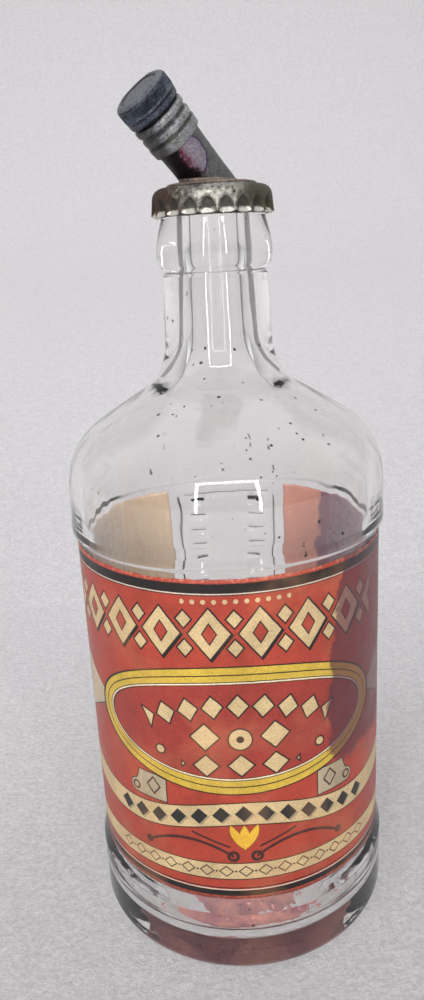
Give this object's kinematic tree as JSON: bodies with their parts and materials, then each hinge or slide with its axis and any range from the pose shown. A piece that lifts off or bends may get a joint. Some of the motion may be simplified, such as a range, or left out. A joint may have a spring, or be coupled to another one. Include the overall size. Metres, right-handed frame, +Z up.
{
  "type": "ink bottle",
  "caption": "Clear glass pint bottle for ink with a wrapped paper label and a crimped crown that carries a slanting pouring spout with a small screw cap.",
  "frame": {"origin": "centre of the ring that the bottle stands on", "axes": "+Z up along the bottle's axis, -Y towards the front of the label; the spout leans towards -X and -Y"},
  "size_m": [0.0793, 0.0794, 0.2112],
  "materials": {
    "glass_bottle": "clear, slightly grey, with small seeds and scratches",
    "paper_label": "printed and varnished paper, aged",
    "crown_shell": "tinplate, rusted on one side",
    "crown_liner": "pressed cork",
    "foot_plate": "soldered sheet, dull brown",
    "spout_tube": "dull grey metal stained with ink",
    "spout_ferrule": "cast soft metal with pale corrosion",
    "screw_cap": "cast soft metal, dark blue-grey patina",
    "cap_seal": "ink-darkened leather washer",
    "dried_ink": "dried ink film"
  },
  "bodies": {
    "bottle": {"glass_bottle": "glass_bottle", "paper_label": "paper_label", "crown_shell": "crown_shell", "crown_liner": "crown_liner", "foot_plate": "foot_plate", "spout_tube": "spout_tube", "spout_ferrule": "spout_ferrule", "dried_ink": "dried_ink"},
    "seal": {"cap_seal": "cap_seal"},
    "cap": {"screw_cap": "screw_cap"}
  },
  "joints": [
    {"name": "cap_lift", "type": "slide", "parent": "bottle", "child": "seal", "axis": [-0.5656, -0.399, 0.7218], "range_m": [0, 0.00281]},
    {"name": "cap_turn", "type": "hinge", "parent": "seal", "child": "cap", "pos_m": [0, 0, 0.18862], "axis": [-0.5656, -0.399, 0.7218], "range_deg": [0, 810]}
  ],
  "couplings": [
    {"joint": "cap_turn", "follows": "cap_lift", "rad_per_m": 5026.5}
  ]
}
